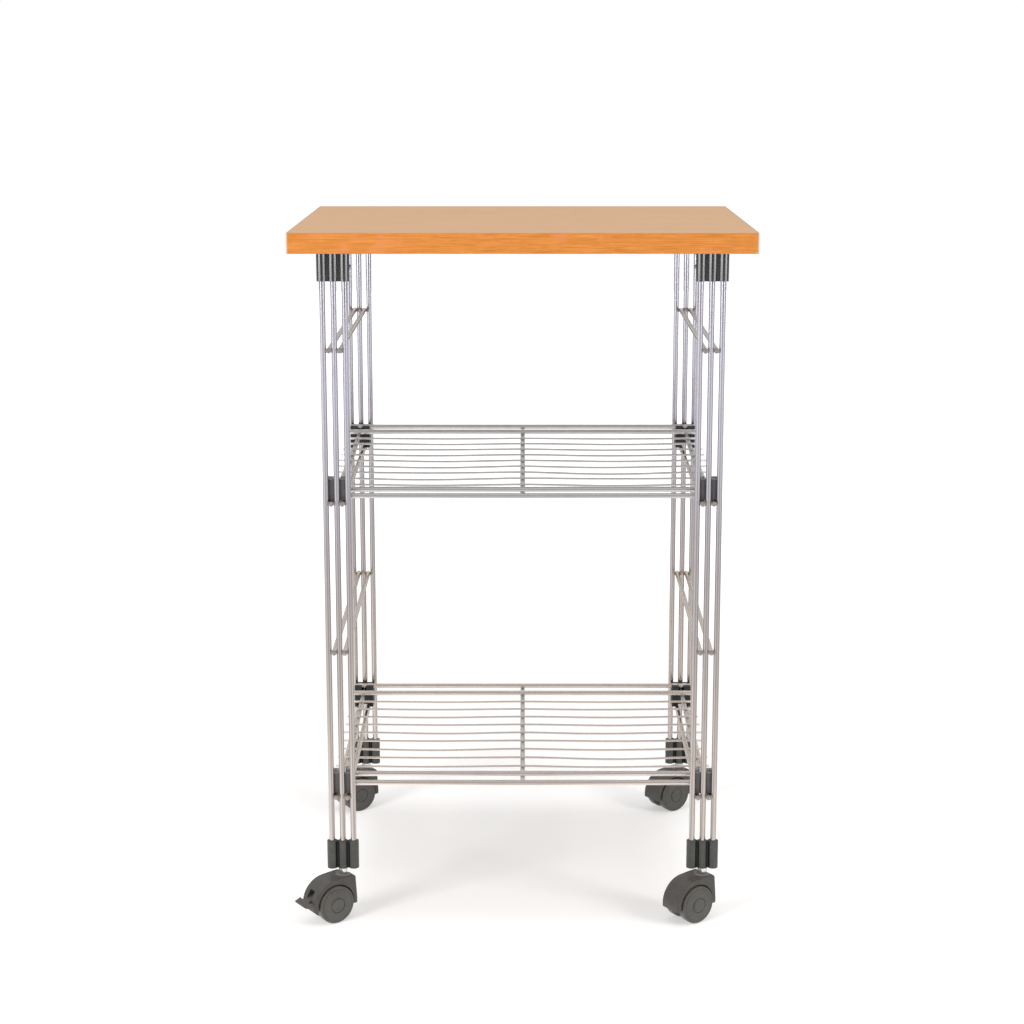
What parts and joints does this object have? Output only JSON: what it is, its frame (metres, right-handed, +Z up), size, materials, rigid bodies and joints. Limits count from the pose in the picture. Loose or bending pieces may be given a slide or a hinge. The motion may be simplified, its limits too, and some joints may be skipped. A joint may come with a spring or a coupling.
{
  "type": "kitchen trolley",
  "caption": "Kitchen trolley: laminated board on chromed rod legs, wire shelves on clips between side frames, and twin-wheel swivel casters with a brake lever.",
  "frame": {"origin": "on the floor, at the middle of the whole trolley's plan box; the board's middle stands 4 mm to the right of it and 14 mm behind it, because the casters trail to the front left", "axes": "+Z up, -Y the front with the long edge of the board, +X to the right seen from the front"},
  "size_m": [0.5079, 0.4098, 0.773],
  "materials": {
    "board": "beech foil, satin",
    "edge_band": "beech edge band, satin",
    "rods": "satin chrome plate",
    "shelf_wire": "satin chrome plate",
    "top_socket": "glossy moulded",
    "bottom_socket": "satin moulded",
    "clip": "satin moulded",
    "fastener": "zinc plate",
    "stem": "bright turned",
    "hood": "satin moulded nylon",
    "wheel": "satin moulded nylon",
    "lever": "satin moulded nylon"
  },
  "bodies": {
    "trolley": {"top_board": "board", "edge_band_front": "edge_band", "edge_band_back": "edge_band", "edge_band_left": "edge_band", "edge_band_right": "edge_band", "leg_rods_front_left": "rods", "leg_rods_front_right": "rods", "leg_rods_back_left": "rods", "leg_rods_back_right": "rods", "depth_rods_left_1": "rods", "depth_rods_left_2": "rods", "depth_rods_left_3": "rods", "depth_rods_left_4": "rods", "depth_rods_right_1": "rods", "depth_rods_right_2": "rods", "depth_rods_right_3": "rods", "depth_rods_right_4": "rods", "upper_shelf_rods": "shelf_wire", "upper_shelf_wires": "shelf_wire", "upper_shelf_bars": "shelf_wire", "lower_shelf_rods": "shelf_wire", "lower_shelf_wires": "shelf_wire", "lower_shelf_bars": "shelf_wire", "top_socket_front_left": "top_socket", "top_socket_front_right": "top_socket", "top_socket_back_left": "top_socket", "top_socket_back_right": "top_socket", "bottom_socket_front_left": "bottom_socket", "bottom_socket_front_right": "bottom_socket", "bottom_socket_back_left": "bottom_socket", "bottom_socket_back_right": "bottom_socket", "upper_shelf_front_clips": "clip", "upper_shelf_back_clips": "clip", "lower_shelf_front_clips": "clip", "lower_shelf_back_clips": "clip", "board_screws": "fastener", "clamp_screws": "fastener", "caster_stem_front_left": "stem", "caster_stem_front_right": "stem", "caster_stem_back_left": "stem", "caster_stem_back_right": "stem"},
    "caster_front_left": {"caster_hood_front_left": "hood", "caster_axle_front_left": "fastener", "brake_pin": "fastener"},
    "near_wheel_front_left": {"wheel_near_front_left": "wheel"},
    "far_wheel_front_left": {"wheel_far_front_left": "wheel"},
    "caster_front_right": {"caster_hood_front_right": "hood", "caster_axle_front_right": "fastener"},
    "near_wheel_front_right": {"wheel_near_front_right": "wheel"},
    "far_wheel_front_right": {"wheel_far_front_right": "wheel"},
    "caster_back_left": {"caster_hood_back_left": "hood", "caster_axle_back_left": "fastener"},
    "near_wheel_back_left": {"wheel_near_back_left": "wheel"},
    "far_wheel_back_left": {"wheel_far_back_left": "wheel"},
    "caster_back_right": {"caster_hood_back_right": "hood", "caster_axle_back_right": "fastener"},
    "near_wheel_back_right": {"wheel_near_back_right": "wheel"},
    "far_wheel_back_right": {"wheel_far_back_right": "wheel"},
    "brake": {"brake_lever": "lever"}
  },
  "joints": [
    {"name": "swivel_front_left", "type": "hinge", "parent": "trolley", "child": "caster_front_left", "pos_m": [-0.19835, -0.1602, 0.05], "axis": [0, 0, 1], "continuous": true},
    {"name": "near_roll_front_left", "type": "hinge", "parent": "caster_front_left", "child": "near_wheel_front_left", "pos_m": [-0.21299, -0.17068, 0.0215], "axis": [-0.5821, 0.8131, 0], "continuous": true},
    {"name": "far_roll_front_left", "type": "hinge", "parent": "caster_front_left", "child": "far_wheel_front_left", "pos_m": [-0.21299, -0.17068, 0.0215], "axis": [-0.5821, 0.8131, 0], "continuous": true},
    {"name": "swivel_front_right", "type": "hinge", "parent": "trolley", "child": "caster_front_right", "pos_m": [0.20635, -0.1602, 0.05], "axis": [0, 0, 1], "continuous": true},
    {"name": "near_roll_front_right", "type": "hinge", "parent": "caster_front_right", "child": "near_wheel_front_right", "pos_m": [0.19171, -0.17068, 0.0215], "axis": [-0.5821, 0.8131, 0], "continuous": true},
    {"name": "far_roll_front_right", "type": "hinge", "parent": "caster_front_right", "child": "far_wheel_front_right", "pos_m": [0.19171, -0.17068, 0.0215], "axis": [-0.5821, 0.8131, 0], "continuous": true},
    {"name": "swivel_back_left", "type": "hinge", "parent": "trolley", "child": "caster_back_left", "pos_m": [-0.19835, 0.1882, 0.05], "axis": [0, 0, 1], "continuous": true},
    {"name": "near_roll_back_left", "type": "hinge", "parent": "caster_back_left", "child": "near_wheel_back_left", "pos_m": [-0.21299, 0.17772, 0.0215], "axis": [-0.5821, 0.8131, 0], "continuous": true},
    {"name": "far_roll_back_left", "type": "hinge", "parent": "caster_back_left", "child": "far_wheel_back_left", "pos_m": [-0.21299, 0.17772, 0.0215], "axis": [-0.5821, 0.8131, 0], "continuous": true},
    {"name": "swivel_back_right", "type": "hinge", "parent": "trolley", "child": "caster_back_right", "pos_m": [0.20635, 0.1882, 0.05], "axis": [0, 0, 1], "continuous": true},
    {"name": "near_roll_back_right", "type": "hinge", "parent": "caster_back_right", "child": "near_wheel_back_right", "pos_m": [0.19171, 0.17772, 0.0215], "axis": [-0.5821, 0.8131, 0], "continuous": true},
    {"name": "far_roll_back_right", "type": "hinge", "parent": "caster_back_right", "child": "far_wheel_back_right", "pos_m": [0.19171, 0.17772, 0.0215], "axis": [-0.5821, 0.8131, 0], "continuous": true},
    {"name": "brake_press", "type": "hinge", "parent": "caster_front_left", "child": "brake", "pos_m": [-0.22518, -0.17941, 0.033], "axis": [0.5821, -0.8131, 0], "range_deg": [0, 12]}
  ]
}
